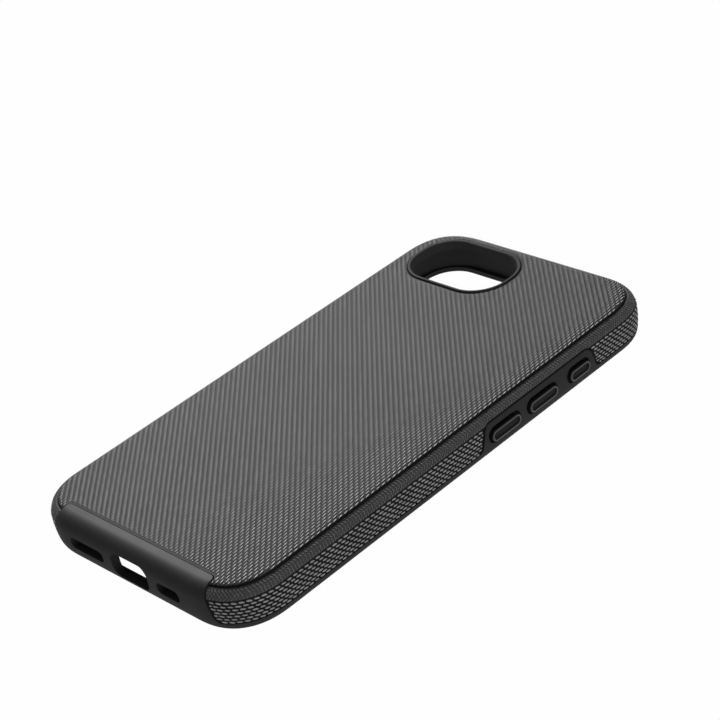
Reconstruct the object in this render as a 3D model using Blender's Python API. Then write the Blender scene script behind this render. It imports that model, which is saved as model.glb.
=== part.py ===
"""Two-layer phone case: a hard textured shell that snaps over a rubber sleeve, which holds the phone.

Run with blender --background --python part.py, or from Blender's text editor. Metres, +Z up.
The case lies open side down with its back up. +Y is the camera end, +X the side with three
buttons, and the origin is the middle of the footprint, on the surface that the rim stands on.
"""

import math
from dataclasses import dataclass

import bmesh
import bpy
from mathutils import Matrix, Vector

OBJECT_NAME = "phone_case"

# The phone that goes in
PHONE_LENGTH = 0.1467
PHONE_WIDTH = 0.0715
PHONE_THICKNESS = 0.0078
PHONE_CORNER_REACH = 0.0136  # how far a corner's curve runs back along each side
PHONE_EDGE_ROUND = 0.0010
PHONE_KEY_PROUD = 0.0003  # how far the phone's own keys stand out of its side
CORNER_EXPONENT = 2.39  # of the superellipse that every corner follows: 2 is a circle

# Walls and clearances
PHONE_SIDE_CLEARANCE = 0.00015
PHONE_DEPTH_CLEARANCE = 0.0001
SLEEVE_WALL = 0.0010
SLEEVE_BACK = 0.0008
SHELL_WALL = 0.00115
SHELL_BACK = 0.0012
PIECE_GAP = 0.0003
KEY_CLEARANCE = 0.00015

# Outer edges
BACK_FILLET_INSET = 0.00376
BACK_FILLET_DROP = 0.0042
WALL_UPRIGHT = 0.0010  # height of the wall's upright part, just under the back fillet
RIM_INSET = 0.0013  # how far the wall curves in, from there down to the rim

# Lip over the screen
LIP_HEIGHT = 0.0013
LIP_SIDE_REACH = 0.0010  # over the phone's long edges
LIP_END_REACH = 0.00095  # over its short edges
LIP_CORNER_ROUND = 0.0090

# Rubber strip along the rim, and the notches in the shell that show more of the rubber
STRIP_HEIGHT = 0.00185
NOTCH_TOP_ROUND = 0.0026
NOTCH_FOOT_ROUND = 0.0020
WINDOW_BELOW_BACK = 0.00255  # the window's top edge below the back
WINDOW_END_MARGIN = 0.00085  # beyond the end pockets, at the window's top
WINDOW_FLARE = 0.0020  # how far each side leans out on its way down
BUMPER_DEPTH = 0.0056  # how far the bumper reaches over the back
BUMPER_END_MARGIN = 0.0046  # beyond the outermost port, at the back
BUMPER_FLARE = 0.0019
BUMPER_BACK_ROUND = 0.0016

# Ports
PORT_EDGE_MARGIN = 0.0007  # the charging port's height is the phone's thickness less this
SLOT_HEIGHT = 0.0032

# Camera opening
CAMERA_FROM_TOP = 0.01325  # phone's top edge to the opening's centre
CAMERA_FROM_SIDE = 0.02025  # phone's -X edge to the opening's centre
CAMERA_LENGTH = 0.0313
CAMERA_HEIGHT = 0.0200
CAMERA_CORNER = 0.00895
CAMERA_RING_WIDTH = 0.00095
CAMERA_RING_PROUD = 0.0003
CAMERA_RING_ROUND = 0.00035

# Buttons and their pockets
POCKET_DEPTH = 0.0013
POCKET_HEIGHT = 0.0046
POCKET_RISE = -0.0005  # the pockets' centre above the middle of the phone's thickness
BUTTON_END_GAP = 0.0005
BUTTON_SIDE_GAP = 0.0007
BUTTON_PROUD = 0.0007
BUTTON_TRAVEL = 0.0005
BUTTON_EDGE_ROUND = 0.0004
STEM_HEIGHT = 0.0014
STEM_END_INSET = 0.0018  # each end of the stem, in from the cap's end

# How finely curves are cut
CORNER_SEGMENTS = 8
FILLET_SEGMENTS = 4
RIM_SEGMENTS = 5
ARC_STEPS = 6
EDGE_SEGMENTS = 3

OVERRUN = 0.002  # how far a cutter runs past what it cuts
SEAM_OVERLAP = 0.00005  # a notch's foot below the strip's top, so that the two always meet
WELD = 0.000002


@dataclass(frozen=True)
class Button:
    """A button on a long side: side is +1 or -1, and from_top is measured on the phone."""

    name: str
    side: int
    from_top: float
    pocket_length: float

    @property
    def y(self):
        return PHONE_LENGTH / 2 - self.from_top


@dataclass(frozen=True)
class Port:
    """An opening in the bottom end: x is its centre, and rise is above the phone's middle."""

    name: str
    x: float
    rise: float
    width: float
    height: float
    corner: float

    @property
    def z(self):
        return PHONE_MID_HEIGHT + self.rise


BUTTONS = (
    Button("volume_down_button", 1, 0.05940, 0.0117),
    Button("volume_up_button", 1, 0.04520, 0.0117),
    Button("action_button", 1, 0.03095, 0.00885),
    Button("side_button", -1, 0.04735, 0.0200),
)
PORTS = (
    Port("speaker_slot", -0.0162, -0.0003, 0.0124, SLOT_HEIGHT, 0.0013),
    Port("charging_port", 0.0, -0.0002, 0.0132, PHONE_THICKNESS - PORT_EDGE_MARGIN, 0.0025),
    Port("microphone_slot", 0.01395, -0.0003, 0.0079, SLOT_HEIGHT, 0.0013),
)

# Sizes that follow from the ones above
WALL_STACK = PHONE_SIDE_CLEARANCE + SLEEVE_WALL + PIECE_GAP + SHELL_WALL
CASE_LENGTH = PHONE_LENGTH + 2 * WALL_STACK
CASE_WIDTH = PHONE_WIDTH + 2 * WALL_STACK
CASE_CORNER_REACH = PHONE_CORNER_REACH + WALL_STACK
PHONE_MID_HEIGHT = LIP_HEIGHT + PHONE_THICKNESS / 2
CAVITY_FLOOR = LIP_HEIGHT + PHONE_THICKNESS + PHONE_DEPTH_CLEARANCE
SLEEVE_TOP = CAVITY_FLOOR + SLEEVE_BACK
SHELL_UNDERSIDE = SLEEVE_TOP + PIECE_GAP
CASE_HEIGHT = SHELL_UNDERSIDE + SHELL_BACK
RIM_RISE = CASE_HEIGHT - BACK_FILLET_DROP - WALL_UPRIGHT
SHELL_FOOT = STRIP_HEIGHT + PIECE_GAP
WINDOW_TOP = CASE_HEIGHT - WINDOW_BELOW_BACK
POCKET_CENTRE_HEIGHT = PHONE_MID_HEIGHT + POCKET_RISE

# Which way an outline's own x, y and depth axes point
UP = Vector((0.0, 0.0, 1.0))
FACING_UP = Matrix.Identity(4)
FACING_SIDE = Matrix(((0, 0, 1, 0), (1, 0, 0, 0), (0, 1, 0, 0), (0, 0, 0, 1)))  # depth along +X
FACING_END = Matrix(((1, 0, 0, 0), (0, 0, -1, 0), (0, 1, 0, 0), (0, 0, 0, 1)))  # depth along -Y


def clear_scene():
    """Removes every object that the file starts with."""
    for obj in list(bpy.data.objects):
        bpy.data.objects.remove(obj)


def new_collection(name):
    """A collection of that name in the scene."""
    collection = bpy.data.collections.new(name)
    bpy.context.scene.collection.children.link(collection)
    return collection


def plain_material(name, colour, roughness):
    """A Principled material for a moulded, non-metallic piece."""
    material = bpy.data.materials.new(name)
    material.use_nodes = True
    shader = material.node_tree.nodes["Principled BSDF"]
    shader.inputs["Base Color"].default_value = (*colour, 1.0)
    shader.inputs["Roughness"].default_value = roughness
    shader.inputs["Metallic"].default_value = 0.0
    return material


def new_object(name, mesh, collection):
    """A smooth-shaded object in a collection. Cutters are drawn as wires and never rendered."""
    mesh.shade_smooth()
    mesh.set_sharp_from_angle(angle=math.radians(35))
    obj = bpy.data.objects.new(name, mesh)
    collection.objects.link(obj)
    if collection.name == "cutters":
        obj.hide_render = True
        obj.display_type = "WIRE"
    return obj


def boolean(obj, other, operation):
    """Adds a live Boolean modifier with the exact solver."""
    modifier = obj.modifiers.new(f"{operation.lower()}_{other.name}", "BOOLEAN")
    modifier.operation = operation
    modifier.solver = "EXACT"
    modifier.object = other


# Outlines: lists of (x, y, corner radius), anticlockwise


def rectangle_outline(width, height, radius, centre=(0.0, 0.0)):
    """A rectangle with rounded corners. A radius too large for it gives round ends."""
    half_x, half_y = width / 2, height / 2
    radius = min(radius, 0.998 * half_x, 0.998 * half_y)
    signs = ((-1, -1), (1, -1), (1, 1), (-1, 1))
    return [(centre[0] + sx * half_x, centre[1] + sy * half_y, radius) for sx, sy in signs]


def notch_outline(centre, half_top, flare, top, foot):
    """A notch that is open at its foot: sides leaning out, round top corners, flared feet."""
    half_foot = half_top + flare
    half_shelf = half_foot + 2 * NOTCH_FOOT_ROUND
    shelf = foot - SEAM_OVERLAP
    corners = [
        (half_shelf, -OVERRUN, 0.0),
        (half_shelf, shelf, 0.0),
        (half_foot, shelf, NOTCH_FOOT_ROUND),
        (half_top, top, NOTCH_TOP_ROUND),
    ]
    right = [(centre + x, y, radius) for x, y, radius in corners]
    left = [(centre - x, y, radius) for x, y, radius in reversed(corners)]
    return right + left


def corner_normals(outline):
    """For each corner, the outward normals of the edges before and after it, and its turn."""
    points = [Vector((x, y)) for x, y, _ in outline]
    for index, point in enumerate(points):
        before = (point - points[index - 1]).normalized()
        after = (points[(index + 1) % len(points)] - point).normalized()
        turn = before.x * after.y - before.y * after.x
        yield Vector((before.y, -before.x)), Vector((after.y, -after.x)), turn


def offset_outline(outline, distance):
    """The outline with every edge moved out by distance, or in if it is negative."""
    moved = []
    for (x, y, radius), (normal_a, normal_b, turn) in zip(outline, corner_normals(outline)):
        shift = (normal_a + normal_b) * distance / (1 + normal_a.dot(normal_b))
        if radius > 0:
            radius = radius + math.copysign(distance, distance * turn)
        moved.append((x + shift.x, y + shift.y, radius))
    return moved


def rounded_points(outline):
    """The outline's points, with each corner that has a radius turned into an arc."""
    points = []
    for (x, y, radius), (normal_a, normal_b, turn) in zip(outline, corner_normals(outline)):
        if radius <= 0:
            points.append((x, y))
            continue
        side = math.copysign(1, turn)
        to_centre = (normal_a + normal_b) * -side * radius / (1 + normal_a.dot(normal_b))
        angle = math.atan2(turn, normal_a.dot(normal_b))
        for step in range(ARC_STEPS + 1):
            cosine = math.cos(angle * step / ARC_STEPS)
            sine = math.sin(angle * step / ARC_STEPS)
            arm_x = normal_a.x * cosine - normal_a.y * sine
            arm_y = normal_a.x * sine + normal_a.y * cosine
            points.append(
                (x + to_centre.x + side * radius * arm_x, y + to_centre.y + side * radius * arm_y)
            )
    return points


def round_edges_at(solid, axis, depth, radius, segments):
    """Rounds the edges of a bmesh that lie in the plane at one depth along an axis."""
    rim = [
        edge for edge in solid.edges
        if all(abs(vert.co.dot(axis) - depth) < WELD for vert in edge.verts)
    ]
    bmesh.ops.bevel(
        solid, geom=rim, offset=radius, offset_type="OFFSET",
        segments=segments, profile=0.5, affect="EDGES",
    )


def prism(name, outline, low, high, facing, collection, round_low=0.0, round_high=0.0):
    """A closed solid from an outline pushed from low to high along its depth axis.

    round_low and round_high are the radii of the edges round its two ends.
    """
    curve = bpy.data.curves.new(name, "CURVE")
    curve.dimensions = "2D"
    curve.fill_mode = "BOTH"
    curve.extrude = (high - low) / 2
    points = rounded_points(outline)
    spline = curve.splines.new("POLY")
    spline.points.add(len(points) - 1)
    for spline_point, (x, y) in zip(spline.points, points):
        spline_point.co = (x, y, 0.0, 1.0)
    spline.use_cyclic_u = True
    flat = bpy.data.objects.new(f"{name}_outline", curve)
    bpy.context.scene.collection.objects.link(flat)
    flat.matrix_world = facing @ Matrix.Translation((0.0, 0.0, (low + high) / 2))
    bpy.context.view_layer.update()
    evaluated = flat.evaluated_get(bpy.context.evaluated_depsgraph_get())
    mesh = bpy.data.meshes.new_from_object(evaluated)
    mesh.transform(flat.matrix_world)
    bpy.data.objects.remove(flat)

    solid = bmesh.new()
    solid.from_mesh(mesh)
    bmesh.ops.remove_doubles(solid, verts=solid.verts, dist=WELD)
    bmesh.ops.dissolve_limit(
        solid, angle_limit=math.radians(0.5), verts=solid.verts, edges=solid.edges
    )
    bmesh.ops.recalc_face_normals(solid, faces=solid.faces)
    depth_axis = facing.to_3x3() @ UP
    for depth, radius in ((low, round_low), (high, round_high)):
        if radius > 0:
            round_edges_at(solid, depth_axis, depth, radius, EDGE_SEGMENTS)
    solid.to_mesh(mesh)
    solid.free()
    return new_object(name, mesh, collection)


def stretch_from(solid, level, reach, factor):
    """Stretches what lies within reach of one height, up and down from it, by a factor."""
    for vert in solid.verts:
        offset = vert.co.z - level
        if abs(offset) < reach + WELD:
            vert.co.z = level + offset * factor


def slab(name, inset, bottom, top, fillet, rim, collection):
    """The case's own outline moved in by inset, from bottom to top.

    fillet is how far the back edge's curve goes in and down, and rim how far the wall curves
    in and up from its foot, or None for a square foot.
    """
    solid = bmesh.new()
    bmesh.ops.create_cube(solid, size=1.0)
    size = (CASE_WIDTH - 2 * inset, CASE_LENGTH - 2 * inset, top - bottom)
    bmesh.ops.scale(solid, vec=size, verts=solid.verts)
    bmesh.ops.translate(solid, vec=(0.0, 0.0, (top + bottom) / 2), verts=solid.verts)
    uprights = [
        edge for edge in solid.edges
        if abs(edge.verts[0].co.z - edge.verts[1].co.z) > (top - bottom) / 2
    ]
    bmesh.ops.bevel(
        solid, geom=uprights, offset=CASE_CORNER_REACH - inset, offset_type="OFFSET",
        segments=CORNER_SEGMENTS, profile=0.25 ** (1 / CORNER_EXPONENT), affect="EDGES",
    )
    fillet_inset, fillet_drop = fillet
    round_edges_at(solid, UP, top, fillet_inset, FILLET_SEGMENTS)
    stretch_from(solid, top, fillet_inset, fillet_drop / fillet_inset)
    if rim:
        rim_inset, rim_rise = rim
        round_edges_at(solid, UP, bottom, rim_inset, RIM_SEGMENTS)
        stretch_from(solid, bottom, rim_inset, rim_rise / rim_inset)
    mesh = bpy.data.meshes.new(name)
    solid.to_mesh(mesh)
    solid.free()
    return new_object(name, mesh, collection)


def full_body(name, collection):
    """The whole outer form of the case, solid right through."""
    fillet = (BACK_FILLET_INSET, BACK_FILLET_DROP)
    return slab(name, 0.0, 0.0, CASE_HEIGHT, fillet, (RIM_INSET, RIM_RISE), collection)


def layer_body(name, inset, bottom, top, collection):
    """A solid that runs parallel to the outer form, inset from its sides, with its back at top."""
    fillet = (BACK_FILLET_INSET - inset, BACK_FILLET_DROP - (CASE_HEIGHT - top))
    return slab(name, inset, bottom, top, fillet, None, collection)


def window_outline(side):
    """The shell's notch round the buttons of one long side, in Y and Z."""
    ends = [
        button.y + sign * button.pocket_length / 2
        for button in BUTTONS if button.side == side for sign in (-1, 1)
    ]
    centre = (min(ends) + max(ends)) / 2
    half_top = (max(ends) - min(ends)) / 2 + WINDOW_END_MARGIN
    return notch_outline(centre, half_top, WINDOW_FLARE, WINDOW_TOP, SHELL_FOOT)


def bumper_outline():
    """The shell's notch round the ports of the bottom end, in X and Z."""
    half_ports = max(abs(port.x) + port.width / 2 for port in PORTS)
    half_top = half_ports + BUMPER_END_MARGIN
    top = CASE_HEIGHT + NOTCH_TOP_ROUND + OVERRUN
    lean = BUMPER_FLARE * (top - CASE_HEIGHT) / (CASE_HEIGHT - SHELL_FOOT)
    return notch_outline(0.0, half_top - lean, BUMPER_FLARE + lean, top, SHELL_FOOT)


def bumper_prism(name, growth, collection):
    """The bumper's notch as a solid. growth moves its faces out, or in if it is negative."""
    outline = offset_outline(bumper_outline(), growth)
    inner = CASE_LENGTH / 2 - BUMPER_DEPTH - growth
    return prism(
        name, outline, inner, CASE_LENGTH / 2 + OVERRUN, FACING_END, collection,
        round_low=BUMPER_BACK_ROUND + growth,
    )


def window_prism(name, side, growth, collection):
    """The window's notch on one long side as a solid, grown or shrunk as bumper_prism's."""
    outline = offset_outline(window_outline(side), growth)
    inner, outer = PHONE_WIDTH / 2, CASE_WIDTH / 2 + OVERRUN
    low, high = (inner, outer) if side > 0 else (-outer, -inner)
    return prism(name, outline, low, high, FACING_SIDE, collection)


def strip_box(name, top, collection):
    """Everything below one height, wider and longer than the case."""
    size = (CASE_WIDTH + 2 * OVERRUN, CASE_LENGTH + 2 * OVERRUN)
    outline = rectangle_outline(*size, 0.0)
    return prism(name, outline, -OVERRUN, top, FACING_UP, collection)


def camera_outline():
    """The camera opening through both layers, in X and Y."""
    centre = (CAMERA_FROM_SIDE - PHONE_WIDTH / 2, PHONE_LENGTH / 2 - CAMERA_FROM_TOP)
    return rectangle_outline(CAMERA_LENGTH, CAMERA_HEIGHT, CAMERA_CORNER, centre)


def build_shell(parts, cutters):
    """The hard outer shell: back and walls, notched for the bumper and the buttons."""
    shell = full_body("outer_shell", parts)
    boolean(
        shell, layer_body("shell_hollow", SHELL_WALL, -OVERRUN, SHELL_UNDERSIDE, cutters),
        "DIFFERENCE",
    )
    boolean(shell, strip_box("shell_foot", SHELL_FOOT, cutters), "DIFFERENCE")
    boolean(shell, bumper_prism("shell_bumper_notch", 0.0, cutters), "DIFFERENCE")
    for side, label in ((1, "right"), (-1, "left")):
        window = window_prism(f"shell_{label}_window", side, 0.0, cutters)
        boolean(shell, window, "DIFFERENCE")
    hole = offset_outline(camera_outline(), CAMERA_RING_WIDTH + PIECE_GAP)
    low, high = SHELL_UNDERSIDE - OVERRUN / 2, CASE_HEIGHT + OVERRUN
    boolean(shell, prism("shell_camera_hole", hole, low, high, FACING_UP, cutters), "DIFFERENCE")
    shell.data.materials.append(plain_material("hard_shell", (0.085, 0.085, 0.087), 0.5))
    return shell


def build_sleeve(parts, cutters):
    """The rubber sleeve: lined back and walls, rim strip, bumper, button pads, camera ring."""
    band = strip_box("sleeve_strip", STRIP_HEIGHT, cutters)
    boolean(band, bumper_prism("sleeve_bumper", -PIECE_GAP, cutters), "UNION")
    for side, label in ((1, "right"), (-1, "left")):
        boolean(band, window_prism(f"sleeve_{label}_pad", side, -PIECE_GAP, cutters), "UNION")

    sleeve = full_body("inner_sleeve", parts)
    boolean(sleeve, band, "INTERSECT")
    liner = layer_body(
        "sleeve_liner", SHELL_WALL + PIECE_GAP, STRIP_HEIGHT / 2, SLEEVE_TOP, cutters
    )
    boolean(sleeve, liner, "UNION")
    ring = prism(
        "camera_ring", offset_outline(camera_outline(), CAMERA_RING_WIDTH),
        CAVITY_FLOOR + SLEEVE_BACK / 2, CASE_HEIGHT + CAMERA_RING_PROUD,
        FACING_UP, cutters, round_high=CAMERA_RING_ROUND,
    )
    boolean(sleeve, ring, "UNION")

    edge = PHONE_EDGE_ROUND
    cavity = slab(
        "phone_cavity", WALL_STACK - PHONE_SIDE_CLEARANCE, LIP_HEIGHT, CAVITY_FLOOR,
        (edge, edge), None, cutters,
    )
    boolean(sleeve, cavity, "DIFFERENCE")
    screen = rectangle_outline(
        PHONE_WIDTH - 2 * LIP_SIDE_REACH, PHONE_LENGTH - 2 * LIP_END_REACH, LIP_CORNER_ROUND
    )
    opening = prism(
        "screen_opening", screen, -OVERRUN, LIP_HEIGHT + OVERRUN, FACING_UP, cutters
    )
    boolean(sleeve, opening, "DIFFERENCE")
    camera = prism(
        "camera_hole", camera_outline(), CAVITY_FLOOR - OVERRUN, CASE_HEIGHT + OVERRUN,
        FACING_UP, cutters,
    )
    boolean(sleeve, camera, "DIFFERENCE")
    for port in PORTS:
        boolean(sleeve, port_cutter(port, cutters), "DIFFERENCE")
    for button in BUTTONS:
        for cutter in pocket_cutters(button, cutters):
            boolean(sleeve, cutter, "DIFFERENCE")
    sleeve.data.materials.append(plain_material("sleeve_rubber", (0.022, 0.022, 0.023), 0.6))
    return sleeve


def port_cutter(port, cutters):
    """A hole through the bumper and the sleeve's end wall."""
    outline = rectangle_outline(port.width, port.height, port.corner, (port.x, port.z))
    low, high = PHONE_LENGTH / 2 - OVERRUN, CASE_LENGTH / 2 + OVERRUN
    return prism(port.name, outline, low, high, FACING_END, cutters)


def place_on_side(obj, button):
    """Puts a solid made at the origin, with +X outward, at the button's place on its side."""
    obj.location = (button.side * CASE_WIDTH / 2, button.y, POCKET_CENTRE_HEIGHT)
    obj.rotation_euler.z = 0.0 if button.side > 0 else math.pi


def stem_length(button):
    """The length of a button's stem along the side."""
    return button.pocket_length - 2 * (BUTTON_END_GAP + STEM_END_INSET)


def pocket_cutters(button, cutters):
    """The pocket that the cap sinks into, and the slot that the stem runs through."""
    pocket = prism(
        f"{button.name}_pocket",
        rectangle_outline(button.pocket_length, POCKET_HEIGHT, POCKET_HEIGHT / 2),
        -POCKET_DEPTH, OVERRUN, FACING_SIDE, cutters,
    )
    slot = prism(
        f"{button.name}_slot",
        rectangle_outline(
            stem_length(button) + 2 * PIECE_GAP, STEM_HEIGHT + 2 * PIECE_GAP, STEM_HEIGHT / 2
        ),
        -WALL_STACK - OVERRUN, -POCKET_DEPTH / 2, FACING_SIDE, cutters,
    )
    for cutter in (pocket, slot):
        place_on_side(cutter, button)
    return pocket, slot


def build_button(button, parts, cutters, material):
    """A pill-shaped cap on a stem. Its origin is on the wall's surface, on its slide axis."""
    cap_low = BUTTON_TRAVEL + PIECE_GAP - POCKET_DEPTH
    cap_length = button.pocket_length - 2 * BUTTON_END_GAP
    cap_height = POCKET_HEIGHT - 2 * BUTTON_SIDE_GAP
    cap = prism(
        button.name, rectangle_outline(cap_length, cap_height, cap_height / 2),
        cap_low, BUTTON_PROUD, FACING_SIDE, parts, round_high=BUTTON_EDGE_ROUND,
    )
    stem = prism(
        f"{button.name}_stem",
        rectangle_outline(stem_length(button), STEM_HEIGHT, STEM_HEIGHT / 2),
        PHONE_KEY_PROUD + KEY_CLEARANCE - WALL_STACK, (cap_low + BUTTON_PROUD) / 2,
        FACING_SIDE, cutters,
    )
    for obj in (cap, stem):
        place_on_side(obj, button)
    boolean(cap, stem, "UNION")
    cap.data.materials.append(material)
    return cap


def main():
    """Builds every piece of the case."""
    clear_scene()
    parts = new_collection(OBJECT_NAME)
    cutters = new_collection("cutters")
    build_sleeve(parts, cutters)
    build_shell(parts, cutters)
    button_rubber = plain_material("button_rubber", (0.018, 0.018, 0.019), 0.5)
    for button in BUTTONS:
        build_button(button, parts, cutters, button_rubber)
    bpy.context.view_layer.update()


main()
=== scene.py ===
"""A two-layer phone case, dressed: woven-look hard shell, rubber sleeve, pressed keys.

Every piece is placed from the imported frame, in metres, +Z up. The case lies open side down
with its back up, +Y is the camera end and +X the side with three keys.
"""

from __future__ import annotations

import logging
import math
from collections.abc import Callable, Iterator, Sequence
from dataclasses import dataclass, field, replace
from enum import Enum
from itertools import pairwise

import bmesh
import bpy
from mathutils import Matrix, Vector

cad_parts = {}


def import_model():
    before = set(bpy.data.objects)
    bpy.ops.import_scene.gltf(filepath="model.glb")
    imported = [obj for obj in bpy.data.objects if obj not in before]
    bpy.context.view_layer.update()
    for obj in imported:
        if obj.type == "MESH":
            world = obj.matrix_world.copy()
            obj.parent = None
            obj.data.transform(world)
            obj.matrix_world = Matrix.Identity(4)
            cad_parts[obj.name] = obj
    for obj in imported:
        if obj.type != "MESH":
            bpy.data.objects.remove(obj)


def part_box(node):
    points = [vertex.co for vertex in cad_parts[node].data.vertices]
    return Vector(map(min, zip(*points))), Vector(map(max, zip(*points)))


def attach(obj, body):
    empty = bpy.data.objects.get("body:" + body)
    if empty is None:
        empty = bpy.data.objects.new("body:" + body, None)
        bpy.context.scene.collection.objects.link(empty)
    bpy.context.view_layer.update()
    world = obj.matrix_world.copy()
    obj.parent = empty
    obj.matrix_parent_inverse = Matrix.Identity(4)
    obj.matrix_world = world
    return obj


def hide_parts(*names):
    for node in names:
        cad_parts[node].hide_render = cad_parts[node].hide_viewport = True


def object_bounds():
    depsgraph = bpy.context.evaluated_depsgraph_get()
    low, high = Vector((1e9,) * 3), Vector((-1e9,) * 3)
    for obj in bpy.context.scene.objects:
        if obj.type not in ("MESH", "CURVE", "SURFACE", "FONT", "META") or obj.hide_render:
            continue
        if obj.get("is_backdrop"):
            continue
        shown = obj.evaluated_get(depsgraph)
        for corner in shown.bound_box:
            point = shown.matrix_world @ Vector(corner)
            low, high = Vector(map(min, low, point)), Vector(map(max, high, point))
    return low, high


LOG = logging.getLogger("phone_case")
WELD = 1e-6  # points closer than this are one
OVERRUN = 0.002  # how far a cutter runs past what it cuts
ARC_STEPS = 10  # in each rounded corner of an outline
ROUND_STEPS = 4  # in the rounded edge of a prism
FULLEST_CORNER = 0.998  # the largest corner radius, as a share of half the outline's side
SHARP_EDGE = 32.0  # degrees past which an edge of a carved solid stays a crease
SOFT_SHARP_EDGE = 50.0  # the same, on the ring and the keys
UP = Vector((0.0, 0.0, 1.0))

Corner = tuple[float, float, float]
Ring = list[Vector]


class Facing(Enum):
    """Which way an outline's own x, y and depth axes point."""

    UP = ((1, 0, 0), (0, 1, 0), (0, 0, 1))
    SIDE = ((0, 0, 1), (1, 0, 0), (0, 1, 0))
    OTHER_SIDE = ((0, 0, -1), (-1, 0, 0), (0, 1, 0))
    END = ((1, 0, 0), (0, 0, -1), (0, 1, 0))

    def place(self, x: float, y: float, depth: float) -> Vector:
        """The point at x, y and depth of an outline that faces this way."""
        return Matrix(self.value) @ Vector((x, y, depth))


class Cut(Enum):
    """What one solid does to another."""

    REMOVE = "DIFFERENCE"
    ADD = "UNION"
    KEEP = "INTERSECT"


# Outlines and solids


@dataclass(frozen=True)
class Outline:
    """A closed flat outline: anticlockwise corners, each with a radius that is 0 if sharp."""

    corners: tuple[Corner, ...]
    arc_steps: int = ARC_STEPS

    @classmethod
    def box(
        cls, width: float, height: float, radius: float,
        centre: tuple[float, float] = (0.0, 0.0), arc_steps: int = ARC_STEPS,
    ) -> Outline:
        """A rectangle with rounded corners.

        Args:
            width: Its size along x.
            height: Its size along y.
            radius: Of its corners, and too large a one gives round ends.
            centre: Its middle.
            arc_steps: Steps in each corner.

        Returns:
            The outline.
        """
        half_x, half_y = width / 2, height / 2
        radius = min(radius, FULLEST_CORNER * half_x, FULLEST_CORNER * half_y)
        signs = ((-1, -1), (1, -1), (1, 1), (-1, 1))
        return cls(
            tuple((centre[0] + sx * half_x, centre[1] + sy * half_y, radius) for sx, sy in signs),
            arc_steps,
        )

    def turns(self) -> Iterator[tuple[Vector, Vector, float]]:
        """How the outline turns at each corner.

        Returns:
            For each corner, the outward normals before and after it and the sine of its turn.
        """
        points = [Vector((x, y)) for x, y, _ in self.corners]
        for index, point in enumerate(points):
            before = (point - points[index - 1]).normalized()
            after = (points[(index + 1) % len(points)] - point).normalized()
            turn = before.x * after.y - before.y * after.x
            yield Vector((before.y, -before.x)), Vector((after.y, -after.x)), turn

    def grown(self, distance: float) -> Outline:
        """The outline with every edge moved.

        Args:
            distance: How far out, or in if it is negative.

        Returns:
            The larger or smaller outline.
        """
        moved = []
        for (x, y, radius), (one, two, turn) in zip(self.corners, self.turns()):
            shift = (one + two) * distance / (1 + one.dot(two))
            if radius > 0:
                radius = max(radius + math.copysign(distance, distance * turn), WELD)
            moved.append((x + shift.x, y + shift.y, radius))
        return Outline(tuple(moved), self.arc_steps)

    def points(self) -> list[tuple[float, float]]:
        """The outline as points.

        Returns:
            The points in order, with each rounded corner turned into an arc.
        """
        points = []
        for (x, y, radius), (one, two, turn) in zip(self.corners, self.turns()):
            if radius <= 0:
                points.append((x, y))
                continue
            side = math.copysign(1, turn)
            centre = Vector((x, y)) - (one + two) * side * radius / (1 + one.dot(two))
            angle = math.atan2(turn, one.dot(two))
            for step in range(self.arc_steps + 1):
                turned = Matrix.Rotation(angle * step / self.arc_steps, 2) @ one
                points.append(tuple(centre + turned * side * radius))
        return points


@dataclass(frozen=True)
class Area:
    """The inside of an outline, for asking whether a point lies in it."""

    points: tuple[tuple[float, float], ...]

    def holds(self, x: float, y: float) -> bool:
        """Whether a point lies inside.

        Args:
            x: The point's x.
            y: The point's y.

        Returns:
            True if it does.
        """
        inside = False
        for (ax, ay), (bx, by) in zip(self.points, (*self.points[1:], self.points[0])):
            if (ay > y) != (by > y) and x < ax + (bx - ax) * (y - ay) / (by - ay):
                inside = not inside
        return inside


def loft(
    name: str, rings: Sequence[Ring], looped: bool = False, crowns: Sequence[float] = ()
) -> bpy.types.Object:
    """A closed skin through rings of the same number of points.

    Args:
        name: The object's name.
        rings: The rings in order.
        looped: Whether the last ring joins the first, instead of both being capped.
        crowns: How much of a crown each ring is, from 0 to 1, if the finish asks for it; the
            finish paints high crowns as a painted highlight and low ones as painted shade.

    Returns:
        The object, with its faces turned outwards.
    """
    solid = bmesh.new()
    layer = solid.verts.layers.float.new("crown") if crowns else None
    rows = [[solid.verts.new(point) for point in ring] for ring in rings]
    for row, crown in zip(rows, crowns):
        for vertex in row:
            vertex[layer] = crown
    for one, two in pairwise([*rows, rows[0]] if looped else rows):
        for index in range(len(one)):
            after = (index + 1) % len(one)
            solid.faces.new((one[index], one[after], two[after], two[index]))
    if not looped:
        solid.faces.new(rows[0][::-1])
        solid.faces.new(rows[-1])
    bmesh.ops.remove_doubles(solid, verts=solid.verts, dist=WELD)
    bmesh.ops.recalc_face_normals(solid, faces=solid.faces)
    mesh = bpy.data.meshes.new(name)
    solid.to_mesh(mesh)
    solid.free()
    return link(name, mesh)


def link(name: str, mesh: bpy.types.Mesh) -> bpy.types.Object:
    """A new object at the origin that shows a mesh.

    Args:
        name: The object's name.
        mesh: Its mesh.

    Returns:
        The object, in the scene.
    """
    obj = bpy.data.objects.new(name, mesh)
    bpy.context.scene.collection.objects.link(obj)
    return obj


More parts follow.
